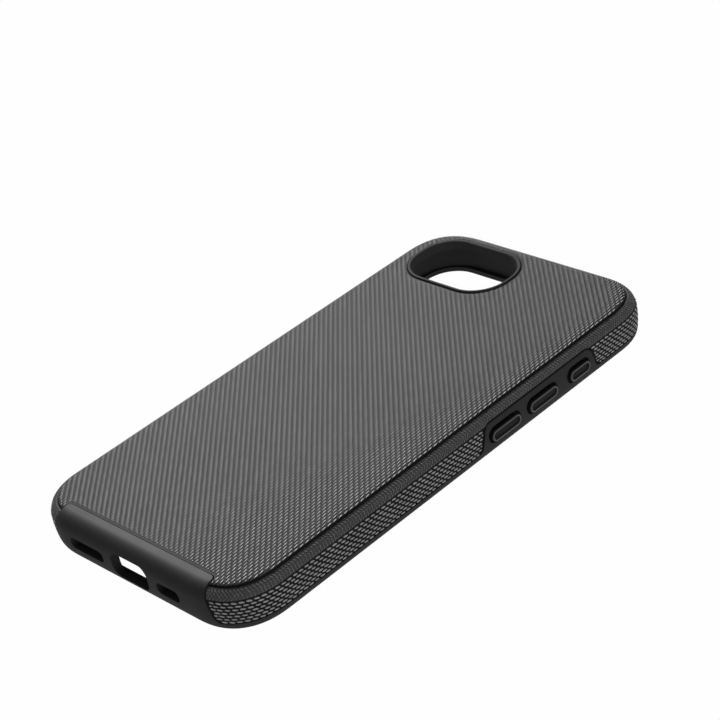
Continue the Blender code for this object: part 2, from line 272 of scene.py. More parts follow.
def prism(
    name: str, outline: Outline, low: float, high: float, facing: Facing,
    round_low: float = 0.0, chamfer: float = 0.0,
) -> bpy.types.Object:
    """A solid from an outline pushed from low to high along its depth axis.

    Args:
        name: The object's name.
        outline: The outline.
        low: Depth of one end.
        high: Depth of the other.
        facing: Which way the outline faces.
        round_low: Radius of the edge round the low end.
        chamfer: How far the sides spread, at 45 degrees, just before the high end.

    Returns:
        The object.
    """
    levels = [(0.0, low)]
    if round_low > 0:
        angles = [math.pi / 2 * step / ROUND_STEPS for step in range(ROUND_STEPS + 1)]
        levels = [
            (-round_low * (1 - math.sin(a)), low + round_low * (1 - math.cos(a))) for a in angles
        ]
    if chamfer > 0:
        levels.append((0.0, high - chamfer))
    levels.append((chamfer, high))
    rings = [
        [facing.place(x, y, depth) for x, y in outline.grown(growth).points()]
        for growth, depth in levels
    ]
    return loft(name, rings)


def carve(
    target: bpy.types.Object, steps: Sequence[tuple[Cut, bpy.types.Object]]
) -> bpy.types.Object:
    """Applies Booleans in order and gives up what was used up.

    Args:
        target: The solid that is worked on.
        steps: What each further solid does to it.

    Returns:
        The target with its new mesh.
    """
    for cut, other in steps:
        modifier = target.modifiers.new(cut.name, "BOOLEAN")
        modifier.operation = cut.value
        modifier.solver = "EXACT"
        modifier.object = other
    bake(target)
    for _, other in steps:
        bpy.data.objects.remove(other)
    return target


def bake(obj: bpy.types.Object) -> bpy.types.Object:
    """Turns what an object's modifiers make into its own plain mesh.

    Args:
        obj: The object.

    Returns:
        The same object, without modifiers.
    """
    bpy.context.view_layer.update()
    shown = obj.evaluated_get(bpy.context.evaluated_depsgraph_get())
    mesh = bpy.data.meshes.new_from_object(shown)
    obj.modifiers.clear()
    obj.data = mesh
    mesh.name = obj.name
    return obj


def polish(obj: bpy.types.Object, sharp: float = SHARP_EDGE) -> bpy.types.Object:
    """Shades a solid smooth, with creases past an angle and flats kept flat.

    Args:
        obj: The solid.
        sharp: The angle in degrees.

    Returns:
        The same object.
    """
    solid = bmesh.new()
    solid.from_mesh(obj.data)
    bmesh.ops.remove_doubles(solid, verts=solid.verts, dist=WELD)
    bmesh.ops.dissolve_degenerate(solid, edges=solid.edges, dist=WELD)
    solid.to_mesh(obj.data)
    solid.free()
    obj.data.shade_smooth()
    obj.data.set_sharp_from_angle(angle=math.radians(sharp))
    weighted = obj.modifiers.new("flats", "WEIGHTED_NORMAL")
    weighted.keep_sharp = True
    return bake(obj)


# Finishes


def group_tree(name: str, inputs: dict[str, float], outputs: Sequence[str]) -> bpy.types.NodeTree:
    """A shader node group with number sockets, and its input and output nodes.

    Args:
        name: The group's name.
        inputs: Each input and its usual value.
        outputs: Each output.

    Returns:
        The group's tree.
    """
    tree = bpy.data.node_groups.new(name, "ShaderNodeTree")
    for socket, value in inputs.items():
        made = tree.interface.new_socket(socket, in_out="INPUT", socket_type="NodeSocketFloat")
        made.default_value = value
    for socket in outputs:
        tree.interface.new_socket(socket, in_out="OUTPUT", socket_type="NodeSocketFloat")
    tree.nodes.new("NodeGroupInput").name = "in"
    tree.nodes.new("NodeGroupOutput").name = "out"
    return tree


def add_node(
    tree: bpy.types.NodeTree, kind: str, links: dict[str | int, object] | None = None,
    **settings: object,
) -> bpy.types.Node:
    """A node with its settings, values and links.

    Args:
        tree: Where the node goes.
        kind: The node's type.
        links: Each input and the value or output socket that it takes.
        settings: The node's own settings.

    Returns:
        The node.
    """
    node = tree.nodes.new(kind)
    for setting, value in settings.items():
        setattr(node, setting, value)
    for socket, source in (links or {}).items():
        if isinstance(source, bpy.types.NodeSocket):
            tree.links.new(source, node.inputs[socket])
        else:
            node.inputs[socket].default_value = source
    return node


def math_node(
    tree: bpy.types.NodeTree, operation: str, *values: float | bpy.types.NodeSocket
) -> bpy.types.NodeSocket:
    """A Math node.

    Args:
        tree: Where the node goes.
        operation: What it works out.
        values: Its numbers or the sockets that they come from.

    Returns:
        The socket that holds the result.
    """
    return add_node(
        tree, "ShaderNodeMath", dict(enumerate(values)), operation=operation
    ).outputs[0]


def build_grain_group() -> bpy.types.NodeTree:
    """Fine moulded grain.

    Returns:
        The group, which puts out a height in metres and a mottle from 0 to 1.
    """
    tree = group_tree(
        "moulded_grain", {"Size": 0.0003, "Height": 0.00001, "Pits": 0.3}, ("Height", "Mottle")
    )
    start, end = tree.nodes["in"], tree.nodes["out"]
    place = add_node(tree, "ShaderNodeTexCoord").outputs["Object"]
    scale = math_node(tree, "DIVIDE", 1.0, start.outputs["Size"])
    grain = add_node(
        tree, "ShaderNodeTexNoise", {"Vector": place, "Scale": scale, "Detail": 3.0}
    ).outputs["Fac"]
    cells = add_node(
        tree, "ShaderNodeTexVoronoi", {"Vector": place, "Scale": scale}, feature="SMOOTH_F1"
    ).outputs["Distance"]
    pitted = add_node(
        tree, "ShaderNodeMix", {0: start.outputs["Pits"], 2: grain, 3: cells}
    ).outputs[0]
    height = math_node(tree, "MULTIPLY", pitted, start.outputs["Height"])
    tree.links.new(height, end.inputs["Height"])
    tree.links.new(pitted, end.inputs["Mottle"])
    return tree


def build_wear_group() -> bpy.types.NodeTree:
    """Broad handling marks, in patches.

    Returns:
        The group, which puts out a mask from 0 to 1 where the surface is worn smoother.
    """
    wear_begins, wear_full = 0.42, 0.68
    tree = group_tree("handling_wear", {"Patch": 0.02, "Amount": 0.3}, ("Rubbed",))
    start, end = tree.nodes["in"], tree.nodes["out"]
    place = add_node(tree, "ShaderNodeTexCoord").outputs["Object"]
    scale = math_node(tree, "DIVIDE", 1.0, start.outputs["Patch"])
    patches = add_node(
        tree, "ShaderNodeTexNoise",
        {"Vector": place, "Scale": scale, "Detail": 5.0, "Roughness": 0.65},
    ).outputs["Fac"]
    spread = add_node(
        tree, "ShaderNodeMapRange",
        {"Value": patches, "From Min": wear_begins, "From Max": wear_full},
    ).outputs["Result"]
    mask = math_node(tree, "MULTIPLY", spread, start.outputs["Amount"])
    tree.links.new(mask, end.inputs["Rubbed"])
    return tree


@dataclass(frozen=True)
class Finish:
    """A moulded plastic or rubber surface: its two tones, its gloss and its grain.

    With a flank shade tone, a piece's flanks take that tone as painted shade, giving way to its
    own two tones as the piece's crown attribute goes from flank_top to crown_top, so the crown
    reads as a painted highlight, and the crown takes a coat. With a gap shade tone, everything
    outside the plain band of heights has that tone, as painted shade between the threads and in
    the crease.
    """

    name: str
    tone: float
    shade: float
    roughness: float
    rubbed_roughness: float
    grain_size: float
    grain_height: float
    pits: float = 0.3
    wear: float = 0.5
    specular: float = 0.5
    varied_by: str = ""
    varied_share: float = 0.6
    # Painted shade on the flanks of raised pieces; their crowns keep the lighter tones as a
    # painted highlight.
    flank_shade_tone: float = 0.0
    flank_top: float = 0.40
    crown_top: float = 0.92
    crown_coat: float = 0.0
    # Painted shade outside the plain band of heights: between the threads and in the crease.
    gap_shade_tone: float = 0.0
    plain_band: tuple[float, float] = (0.0, 0.0)
    band_blur: float = 0.00008

    def make(self) -> bpy.types.Material:
        """Builds the finish's nodes.

        Returns:
            The finish as a material.
        """
        material = bpy.data.materials.new(self.name)
        material.use_nodes = True
        tree = material.node_tree
        shader = tree.nodes["Principled BSDF"]
        shader.inputs["Specular IOR Level"].default_value = self.specular
        shader.inputs["Coat Roughness"].default_value = self.roughness
        grain = add_node(tree, "ShaderNodeGroup", node_tree=bpy.data.node_groups["moulded_grain"])
        grain.inputs["Size"].default_value = self.grain_size
        grain.inputs["Height"].default_value = self.grain_height
        grain.inputs["Pits"].default_value = self.pits
        wear = add_node(tree, "ShaderNodeGroup", node_tree=bpy.data.node_groups["handling_wear"])
        wear.inputs["Amount"].default_value = self.wear
        mottle = grain.outputs["Mottle"]
        if self.varied_by:
            thread = add_node(
                tree, "ShaderNodeAttribute", attribute_name=self.varied_by
            ).outputs["Fac"]
            mottle = add_node(
                tree, "ShaderNodeMix", {0: self.varied_share, 2: mottle, 3: thread}
            ).outputs[0]
        grey = add_node(
            tree, "ShaderNodeMix",
            {0: mottle, 6: self.colour(self.shade), 7: self.colour(self.tone)}, data_type="RGBA",
        )
        base = grey.outputs[2]
        # The crown mask paints the flanks dark as painted shade and leaves the crown lighter as a
        # painted highlight; it also sets the coat.
        if self.flank_shade_tone:
            crown = add_node(tree, "ShaderNodeAttribute", attribute_name="crown").outputs["Fac"]
            lit_crown_mask = add_node(
                tree, "ShaderNodeMapRange",
                {"Value": crown, "From Min": self.flank_top, "From Max": self.crown_top},
            ).outputs["Result"]
            polished = math_node(tree, "MULTIPLY", lit_crown_mask, self.crown_coat)
            tree.links.new(polished, shader.inputs["Coat Weight"])
            base = add_node(
                tree, "ShaderNodeMix",
                {0: lit_crown_mask, 6: self.colour(self.flank_shade_tone), 7: base}, data_type="RGBA",
            ).outputs[2]
        # Painted shade on the ground outside the plain band: between the threads and in the
        # crease.
        if self.gap_shade_tone:
            base = self.shade_outside_band(tree, base)
        tree.links.new(base, shader.inputs["Base Color"])
        gloss = add_node(
            tree, "ShaderNodeMix",
            {0: wear.outputs["Rubbed"], 2: self.roughness, 3: self.rubbed_roughness},
        )
        tree.links.new(gloss.outputs[0], shader.inputs["Roughness"])
        bump = add_node(
            tree, "ShaderNodeBump", {"Height": grain.outputs["Height"], "Distance": 1.0}
        )
        tree.links.new(bump.outputs["Normal"], shader.inputs["Normal"])
        return material

    def shade_outside_band(
        self, tree: bpy.types.NodeTree, plain: bpy.types.NodeSocket
    ) -> bpy.types.NodeSocket:
        """Keeps a tone to the plain band of heights, and paints shade outside it.

        Args:
            tree: The material's nodes.
            plain: The tone inside the band.

        Returns:
            That tone inside the band, and the painted shade tone outside it.
        """
        place = add_node(tree, "ShaderNodeTexCoord").outputs["Object"]
        height = add_node(tree, "ShaderNodeSeparateXYZ", {0: place}).outputs["Z"]
        (low, high), blur = self.plain_band, self.band_blur
        above = add_node(tree, "ShaderNodeMapRange", {
            "Value": height, "From Min": low - blur, "From Max": low + blur,
        }).outputs["Result"]
        below = add_node(tree, "ShaderNodeMapRange", {
            "Value": height, "From Min": high + blur, "From Max": high - blur,
        }).outputs["Result"]
        inside = math_node(tree, "MULTIPLY", above, below)
        return add_node(
            tree, "ShaderNodeMix", {0: inside, 6: self.colour(self.gap_shade_tone), 7: plain},
            data_type="RGBA",
        ).outputs[2]

    @staticmethod
    def colour(grey: float) -> tuple[float, float, float, float]:
        """A neutral grey as a colour."""
        return (grey, grey, grey, 1.0)


# Its deep tone is painted shade between the threads and in the crease.
SHELL_GROUND = Finish(
    name="shell_ground", tone=0.130, shade=0.065, roughness=0.60, rubbed_roughness=0.5,
    grain_size=0.00030, grain_height=0.00005, pits=0.4, wear=0.3, specular=0.10,
    gap_shade_tone=0.010, plain_band=(0.00850, 0.01054),
)
# The thread finishes below paint each thread's flanks dark as painted shade and its crown light as
# a painted highlight.
SHELL_THREAD = Finish(
    name="shell_thread", tone=0.44, shade=0.31, roughness=0.44, rubbed_roughness=0.38,
    grain_size=0.00018, grain_height=0.00001, pits=0.2, wear=0.4, varied_by="thread_tone",
    flank_shade_tone=0.012, crown_coat=1.0, specular=0.08,
)
SHELL_WALL = replace(
    SHELL_THREAD, name="shell_wall", tone=0.48, shade=0.36, flank_shade_tone=0.05, flank_top=0.10,
    crown_top=0.90,
)
SHELL_BAND = Finish(
    name="shell_band", tone=0.20, shade=0.11, roughness=0.58, rubbed_roughness=0.5,
    grain_size=0.00030, grain_height=0.00004, pits=0.3, wear=0.3, varied_by="thread_tone",
    flank_shade_tone=0.025, crown_coat=0.5, specular=0.15,
)
SLEEVE_RUBBER = Finish(
    name="sleeve_rubber", tone=0.038, shade=0.029, roughness=0.62, rubbed_roughness=0.52,
    grain_size=0.00012, grain_height=0.000006, pits=0.5, wear=0.5, specular=0.15,
)
RING_RUBBER = replace(
    SLEEVE_RUBBER, name="ring_rubber", tone=0.046, shade=0.036, roughness=0.8, specular=0.10
)
# The key's rim is painted light as a painted highlight, its dish and sides dark as painted shade.
BUTTON_RUBBER = Finish(
    name="button_rubber", tone=0.10, shade=0.08, roughness=0.34, rubbed_roughness=0.26,
    grain_size=0.0001, grain_height=0.000002, pits=0.5, wear=0.7, specular=0.12,
    flank_shade_tone=0.014, flank_top=0.0, crown_top=1.0, crown_coat=1.0,
)


def dress(
    obj: bpy.types.Object, material: bpy.types.Material, body: str, slot: str, *nodes: str
) -> None:
    """Gives a piece its finish, its body and the CAD nodes that it stands for.

    Args:
        obj: The piece.
        material: Its finish.
        body: The body that it rides on.
        slot: The name of its finish's slot; not used.
        nodes: The CAD nodes that it replaces.
    """
    obj.data.materials.clear()
    obj.data.materials.append(material)
    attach(obj, body)
    if nodes:
        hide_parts(*nodes)
    LOG.info("%s: %d faces, rides on %s", obj.name, len(obj.data.polygons), body)


# The case's form


@dataclass(frozen=True)
class Walls:
    """The thicknesses that separate the case's layers."""

    phone_gap: float = 0.00015
    sleeve: float = 0.0010
    gap: float = 0.0003
    shell: float = 0.00115
    lip: float = 0.0013
    cavity_floor: float = 0.0092
    sleeve_top: float = 0.0100
    shell_underside: float = 0.0103

    @property
    def stack(self) -> float:
        """From the phone's side to the case's side."""
        return self.phone_gap + self.sleeve + self.gap + self.shell


@dataclass(frozen=True)
class EdgePoint:
    """A point on the case's footprint, how far round it lies, and which way it faces."""

    run: float
    x: float
    y: float
    normal: Vector


@dataclass(frozen=True)
class CaseForm:
    """The case's outer form: its footprint, its height and the curves of its edges."""

    width: float
    length: float
    height: float
    corner_reach: float = 0.0162
    corner_power: float = 2.39
    fillet_inset: float = 0.00376
    fillet_drop: float = 0.0042
    rim_inset: float = 0.0013
    rim_rise: float = 0.0063
    corner_steps: int = 24
    fillet_steps: int = 12
    rim_steps: int = 8

    @classmethod
    def from_frame(cls) -> CaseForm:
        """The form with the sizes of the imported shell."""
        _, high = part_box("outer_shell")
        return cls(2 * high.x, 2 * high.y, high.z)

    def footprint(self, inset: float = 0.0) -> list[EdgePoint]:
        """The case's outline seen from above.

        Args:
            inset: How far in it is moved.

        Returns:
            Its points, anticlockwise from where the +X side meets the +X +Y corner.
        """
        found: list[tuple[float, float, Vector]] = []
        share = 2 / self.corner_power
        for sx, sy in ((1, 1), (-1, 1), (-1, -1), (1, -1)):
            steps = range(self.corner_steps + 1)
            for step in steps if sx * sy > 0 else reversed(steps):
                turn = math.pi / 2 * step / self.corner_steps
                cosine, sine = max(math.cos(turn), 0.0), math.sin(turn)
                at = Vector((cosine**share, sine**share))
                power = self.corner_power - 1
                normal = Vector((sx * at.x**power, sy * at.y**power)).normalized()
                x = sx * (self.width / 2 - self.corner_reach * (1 - at.x)) - normal.x * inset
                y = sy * (self.length / 2 - self.corner_reach * (1 - at.y)) - normal.y * inset
                found.append((x, y, normal))
        points, run = [], 0.0
        for index, (x, y, normal) in enumerate(found):
            if index:
                run += math.hypot(x - found[index - 1][0], y - found[index - 1][1])
            points.append(EdgePoint(run, x, y, normal))
        return points

    def wall_inset(self, height: float) -> float:
        """How far in from the footprint the wall's surface is.

        Args:
            height: Where on the wall.

        Returns:
            The distance.
        """
        below, above = self.rim_rise - height, height - (self.height - self.fillet_drop)
        if below > 0:
            return self.rim_inset * (1 - math.sqrt(max(0.0, 1 - (below / self.rim_rise) ** 2)))
        share = min(1.0, max(0.0, above / self.fillet_drop))
        return self.fillet_inset * (1 - math.sqrt(1 - share**2))

    def wall_lean(self, height: float) -> Vector:
        """The direction that the wall faces.

        Args:
            height: Where on the wall.

        Returns:
            How far the direction goes outwards and up.
        """
        step = 0.00002
        low, high = max(height - step, 0.0), min(height + step, self.height)
        slope = (self.wall_inset(high) - self.wall_inset(low)) / (high - low)
        return Vector((1.0, slope)).normalized()

    def rings(self, levels: Sequence[tuple[float, float]]) -> list[Ring]:
        """The footprint at several levels.

        Args:
            levels: Each ring's inset and height.

        Returns:
            The rings.
        """
        return [
            [Vector((p.x, p.y, height)) for p in self.footprint(inset)] for inset, height in levels
        ]

    def rim_levels(self, inset: float) -> list[tuple[float, float]]:
        """The wall from the rim up to its upright part.

        Args:
            inset: How far in the layer is from the outer form.

        Returns:
            Each ring's inset and height.
        """
        levels = []
        for step in range(self.rim_steps + 1):
            turn = math.pi / 2 * step / self.rim_steps
            levels.append((
                inset + self.rim_inset * (1 - math.sin(turn)),
                self.rim_rise * (1 - math.cos(turn)),
            ))
        return levels

    def back_levels(
        self, inset: float, top: float, crease: Crease | None = None
    ) -> list[tuple[float, float]]:
        """The back edge's curve.

        Args:
            inset: How far in the layer is from the outer form.
            top: The height of the layer's back.
            crease: The groove that the curve dips into, if any.

        Returns:
            Each ring's inset and height.
        """
        across = self.fillet_inset - inset
        down = self.fillet_drop - (self.height - top)
        turns = [math.pi / 2 * step / self.fillet_steps for step in range(self.fillet_steps + 1)]
        dips = {turn: 0.0 for turn in turns}
        if crease:
            middle = math.acos(1 - (crease.inset - inset) / across)
            reach = crease.width / 2 / across
            dips = {turn: 0.0 for turn in turns if abs(turn - middle) > reach * crease.clearing}
            for share, dip in crease.profile:
                dips[middle + share * reach] = dip * crease.depth
        levels = []
        for turn, dip in sorted(dips.items()):
            levels.append((
                inset + across * (1 - math.cos(turn)) + dip * math.cos(turn),
                top - down * (1 - math.sin(turn)) - dip * math.sin(turn),
            ))
        return levels

    def body(self, name: str) -> bpy.types.Object:
        """The whole outer form, solid right through."""
        levels = [*self.rim_levels(0.0), *self.back_levels(0.0, self.height)]
        return loft(name, self.rings(levels))

    def layer(self, name: str, inset: float, bottom: float, top: float) -> bpy.types.Object:
        """A solid that runs parallel to the outer form, with its back at height top."""
        levels = [(inset, bottom), *self.back_levels(inset, top)]
        return loft(name, self.rings(levels))


@dataclass(frozen=True)
class Crease:
    """The groove that parts the back from its edge band.

    The profile gives points across it, in half widths, and how deep each is, in depths. No
    other ring of the curve lies within the clearing, in half widths.
    """

    inset: float = 0.00225
    width: float = 0.00095
    depth: float = 0.00034
    clearing: float = 1.2
    profile: tuple[tuple[float, float], ...] = (
        (-1.0, 0.0), (-0.55, 0.7), (0.0, 1.0), (0.55, 0.7), (1.0, 0.0),
    )


@dataclass(frozen=True)
class Notches:
    """Where the rubber shows through the shell: a bumper at the ports, windows at the keys."""

    form: CaseForm
    walls: Walls
    strip_height: float = 0.00190
    strip_gap: float = 0.00016
    top_round: float = 0.0026
    foot_round: float = 0.0020
    window_below_back: float = 0.00255
    window_margin: float = 0.00085
    window_flare: float = 0.0020
    pocket_margin: float = 0.0005
    bumper_depth: float = 0.0056
    bumper_half_top: float = 0.0270
    bumper_flare: float = 0.0019
    bumper_back_round: float = 0.0016
    shelf_drop: float = 0.00005

    @property
    def foot(self) -> float:
        """The height of the shell's lower edge."""
        return self.strip_height + self.strip_gap

    def notch(self, centre: float, half_top: float, flare: float, top: float) -> Outline:
        """A notch open at its foot, with round top corners and flared feet.

        Args:
            centre: Its middle along the shell's edge.
            half_top: Half its width at the top.
            flare: How much further out each foot is.
            top: The height of its top.

        Returns:
            The outline.
        """
        half_foot = half_top + flare
        shelf = self.foot - self.shelf_drop
        corners = [
            (half_foot + 2 * self.foot_round, -OVERRUN, 0.0),
            (half_foot + 2 * self.foot_round, shelf, 0.0),
            (half_foot, shelf, self.foot_round),
            (half_top, top, self.top_round),
        ]
        right = [(centre + x, y, radius) for x, y, radius in corners]
        left = [(centre - x, y, radius) for x, y, radius in reversed(corners)]
        return Outline(tuple(right + left))

    def window(self, side: Side) -> Outline:
        """The notch round the keys of one side.

        Args:
            side: The side.

        Returns:
            The outline, as the side's facing sees it.
        """
        boxes = [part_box(key) for key in side.keys]
        low = min(one.y for one, _ in boxes) - self.pocket_margin
        high = max(two.y for _, two in boxes) + self.pocket_margin
        half_top = (high - low) / 2 + self.window_margin
        top = self.form.height - self.window_below_back
        centre = side.sign * (low + high) / 2
        return self.notch(centre, half_top, self.window_flare, top)

    def bumper(self) -> Outline:
        """The notch round the ports.

        Returns:
            The outline, in X and Z.
        """
        top = self.form.height + self.top_round + OVERRUN
        lean = self.bumper_flare * (top - self.form.height) / (self.form.height - self.foot)
        return self.notch(0.0, self.bumper_half_top - lean, self.bumper_flare + lean, top)

    def bumper_solid(self, name: str, growth: float) -> bpy.types.Object:
        """The bumper's notch as a solid.

        Args:
            name: The solid's name.
            growth: How much it is grown all round, or shrunk if it is negative.

        Returns:
            The solid.
        """
        inner = self.form.length / 2 - self.bumper_depth - growth
        return prism(
            name, self.bumper().grown(growth), inner, self.form.length / 2 + OVERRUN,
            Facing.END, round_low=self.bumper_back_round + growth,
        )

    def window_solid(self, name: str, side: Side, growth: float) -> bpy.types.Object:
        """One side's window as a solid.

        Args:
            name: The solid's name.
            side: The side.
            growth: How much it is grown all round, or shrunk if it is negative.

        Returns:
            The solid.
        """
        outline = self.window(side).grown(growth)
        inner = self.form.width / 2 - self.walls.stack
        return prism(name, outline, inner, self.form.width / 2 + OVERRUN, side.facing)

    def below(self, name: str, top: float) -> bpy.types.Object:
        """Everything below one height, wider and longer than the case.

        Args:
            name: The solid's name.
            top: The height.

        Returns:
            The solid.
        """
        outline = Outline.box(
            self.form.width + 2 * OVERRUN, self.form.length + 2 * OVERRUN, 0.0
        )
        return prism(name, outline, -OVERRUN, top, Facing.UP)


class Side(Enum):
    """The case's two long sides."""

    THREE_KEYS = ("volume_down_button", "volume_up_button", "action_button")
    ONE_KEY = ("side_button",)

    @property
    def keys(self) -> tuple[str, ...]:
        """The CAD nodes of the side's keys."""
        return self.value

    @property
    def facing(self) -> Facing:
        """Which way an outline on this side faces."""
        return Facing.SIDE if self is Side.THREE_KEYS else Facing.OTHER_SIDE

    @property
    def sign(self) -> int:
        """Which way the side points along X."""
        return 1 if self is Side.THREE_KEYS else -1


@dataclass(frozen=True)
class CameraHole:
    """The camera opening through both layers."""

    form: CaseForm
    walls: Walls
    from_end: float = 0.01325
    from_side: float = 0.02025
    length: float = 0.0313
    height: float = 0.0200
    corner: float = 0.00895
    ring_width: float = 0.00095
    arc_steps: int = 16

    @property
    def outline(self) -> Outline:
        """The opening's outline.

        Returns:
            The outline, in X and Y.
        """
        centre = (
            self.walls.stack + self.from_side - self.form.width / 2,
            self.form.length / 2 - self.walls.stack - self.from_end,
        )
        return Outline.box(self.length, self.height, self.corner, centre, self.arc_steps)


# The shell


@dataclass(frozen=True)
class Shell:
    """The hard outer shell under its woven pattern."""

    form: CaseForm
    walls: Walls
    notches: Notches
    camera: CameraHole
    weave_rise: float = 0.00020
    crease: Crease = field(default_factory=Crease)

    def build(self) -> bpy.types.Object:
        """Makes the shell's body.

        Returns:
            The body, carved and polished.
        """
        rise = self.weave_rise
        levels = [
            *self.form.rim_levels(rise),
            *self.form.back_levels(rise, self.form.height - rise, self.crease),
        ]
        shell = loft("shell_body", self.form.rings(levels))
        hole = self.camera.outline.grown(self.camera.ring_width + self.walls.gap)
        low, high = self.walls.shell_underside - OVERRUN / 2, self.form.height + OVERRUN
        steps = [
            (Cut.REMOVE, self.form.layer(
                "hollow", self.walls.shell, -OVERRUN, self.walls.shell_underside)),
            (Cut.REMOVE, self.notches.below("foot", self.notches.foot)),
            (Cut.REMOVE, self.notches.bumper_solid("bumper_notch", 0.0)),
            *((Cut.REMOVE, self.notches.window_solid(side.name, side, 0.0)) for side in Side),
            (Cut.REMOVE, prism("camera_hole", hole, low, high, Facing.UP)),
        ]
        return polish(carve(shell, steps))

    def dress(self, ground: bpy.types.Material) -> None:
        """Builds the shell's body and puts it on its body in the frame."""
        dress(self.build(), ground, "shell", "shell_plastic", "outer_shell")


@dataclass(frozen=True)
class Seat:
    """Where one raised thread lies, how it is turned, and its half sizes."""

    point: Vector
    facing: Vector
    along: Vector
    reach: Vector


@dataclass(frozen=True)
class Weave:
    """The raised threads all over the shell: the back, the edge band and the side walls.

    Sizes are half sizes where they say so, and slants are in degrees against the row.
    """

    form: CaseForm
    notches: Notches
    camera: CameraHole
    crease: Crease
    pitch: float = 0.0009
    thread_half_length: float = 0.00090
    thread_half_width: float = 0.00026
    thread_slant: float = 8.0
    thread_taper: float = 0.40
    wall_half_length: float = 0.00080
    wall_half_width: float = 0.00033
    wall_slant: float = 171.0
    wall_taper: float = 0.15
    rise: float = 0.00020
    column_start: float = 0.001
    edge_room: float = 0.00028
    shortest: float = 0.00018
    row_first: float = 0.00240
    row_pitch: float = 0.00092
    row_count: int = 7
    band_low: float = 0.00890
    band_high: float = 0.01052
    band_rows: int = 4
    band_half_length: float = 0.00050
    band_half_width: float = 0.00024
    band_slant: float = 52.0
    band_taper: float = 0.0
    band_rise: float = 0.00009
    side_facing: float = 0.9
    trim_steps: int = 8

    def trimmed(
        self, half_length: float, allowed: Callable[[float], bool]
    ) -> tuple[float, float] | None:
        """The longest part of a thread that may stay.

        Args:
            half_length: Half the whole thread's length.
            allowed: Whether the thread may lie at an offset along itself.

        Returns:
            The middle's offset and the half length, or None where too little is left.
        """
        steps = self.trim_steps
        best, run_start = (0, 0), None
        flags = [allowed(half_length * (2 * i / steps - 1)) for i in range(steps + 1)] + [False]
        for index, flag in enumerate(flags):
            if flag and run_start is None:
                run_start = index
            elif not flag and run_start is not None:
                if index - 1 - run_start > best[1] - best[0]:
                    best = (run_start, index - 1)
                run_start = None
        low, high = (half_length * (2 * i / steps - 1) for i in best)
        if (high - low) / 2 < self.shortest:
            return None
        return (low + high) / 2, (high - low) / 2

    def back_seats(self) -> list[Seat]:
        """The threads of the back: columns along Y, every other one half a step on.

        Returns:
            Their seats.
        """
        step = 2 * self.pitch
        inset = self.crease.inset + self.crease.width / 2
        inside = Area(tuple((p.x, p.y) for p in self.form.footprint(inset)))
        hole = self.camera.outline.grown(
            self.camera.ring_width + self.notches.walls.gap + self.edge_room
        )
        hole_area = Area(tuple(hole.points()))
        bumper = Area(tuple(self.bumper_plan(self.edge_room)))

        def free(x: float, y: float) -> bool:
            """Whether a thread may cover the point (x, y) of the back."""
            return inside.holds(x, y) and not hole_area.holds(x, y) and not bumper.holds(x, y)

        seats = []
        columns = int(self.form.width / 2 / self.pitch)
        for column in range(-columns, columns):
            x = (column + 0.5) * self.pitch
            shift = self.column_start + (column % 2) * self.pitch
            rows = int(self.form.length / 2 / step) + 1
            for row in range(-rows, rows + 1):
                y = row * step + shift
                kept = self.trimmed(self.thread_half_length, lambda t: free(x, y + t))
                if kept:
                    point, facing, along = self.on_back(x, y + kept[0])
                    reach = Vector((kept[1], self.thread_half_width, self.rise))
                    seats.append(Seat(point, facing, self.slanted(along, facing), reach))
        return seats

    def slanted(self, along: Vector, facing: Vector) -> Vector:
        """A thread's direction, turned by its slant against its row."""
        return Matrix.Rotation(math.radians(self.thread_slant), 3, facing) @ along

    def on_back(self, x: float, y: float) -> tuple[Vector, Vector, Vector]:
        """The ground under a thread of the back.

        Args:
            x: The thread's x.
            y: The thread's y.

        Returns:
            The point on the ground, the direction it faces and the thread's own direction.
        """
        depth, normal = self.edge_depth(x, y)
        if depth >= self.form.fillet_inset:
            return Vector((x, y, self.form.height - self.rise)), UP, Vector((0.0, 1.0, 0.0))
        share = 1 - depth / self.form.fillet_inset
        height = self.form.height - self.form.fillet_drop * (1 - math.sqrt(1 - share**2))
        lean = self.form.wall_lean(height)
        facing = Vector((normal.x * lean.x, normal.y * lean.x, lean.y))
        point = Vector((x, y, height)) - facing * self.rise
        along = Vector((0.0, 1.0, 0.0))
        return point, facing, (along - facing * along.dot(facing)).normalized()

    def edge_depth(self, x: float, y: float) -> tuple[float, Vector]:
        """Where a point lies against the footprint.

        Args:
            x: The point's x.
            y: The point's y.

        Returns:
            How far inside it lies, and which way the nearest edge faces.
        """
        half_x, half_y = self.form.width / 2, self.form.length / 2
        reach = self.form.corner_reach
        if abs(x) < half_x - reach or abs(y) < half_y - reach:
            side, end = half_x - abs(x), half_y - abs(y)
            if side < end:
                return side, Vector((math.copysign(1, x), 0.0))
            return end, Vector((0.0, math.copysign(1, y)))
        best, normal = math.inf, Vector((0.0, 1.0))
        for p in self.corner_points():
            here = Vector((abs(x) - abs(p.x), abs(y) - abs(p.y)))
            if here.length < best:
                best = here.length
                normal = Vector((math.copysign(p.normal.x, x), math.copysign(p.normal.y, y)))
        return best, normal

    def corner_points(self) -> list[EdgePoint]:
        """The footprint's points round the +X +Y corner."""
        return self.form.footprint()[: self.form.corner_steps + 1]

    def bumper_plan(self, growth: float) -> list[tuple[float, float]]:
        """The bumper as it shows on the back.

        Args:
            growth: How much it is grown all round.

        Returns:
            Its outline's points, in X and Y.
        """
        half = self.notches.bumper_half_top
        inner = -self.form.length / 2 + self.notches.bumper_depth
        outline = Outline.box(
            2 * half, 2 * self.notches.bumper_depth, self.notches.bumper_back_round,
            (0.0, inner - self.notches.bumper_depth),
        )
        return outline.grown(growth).points()

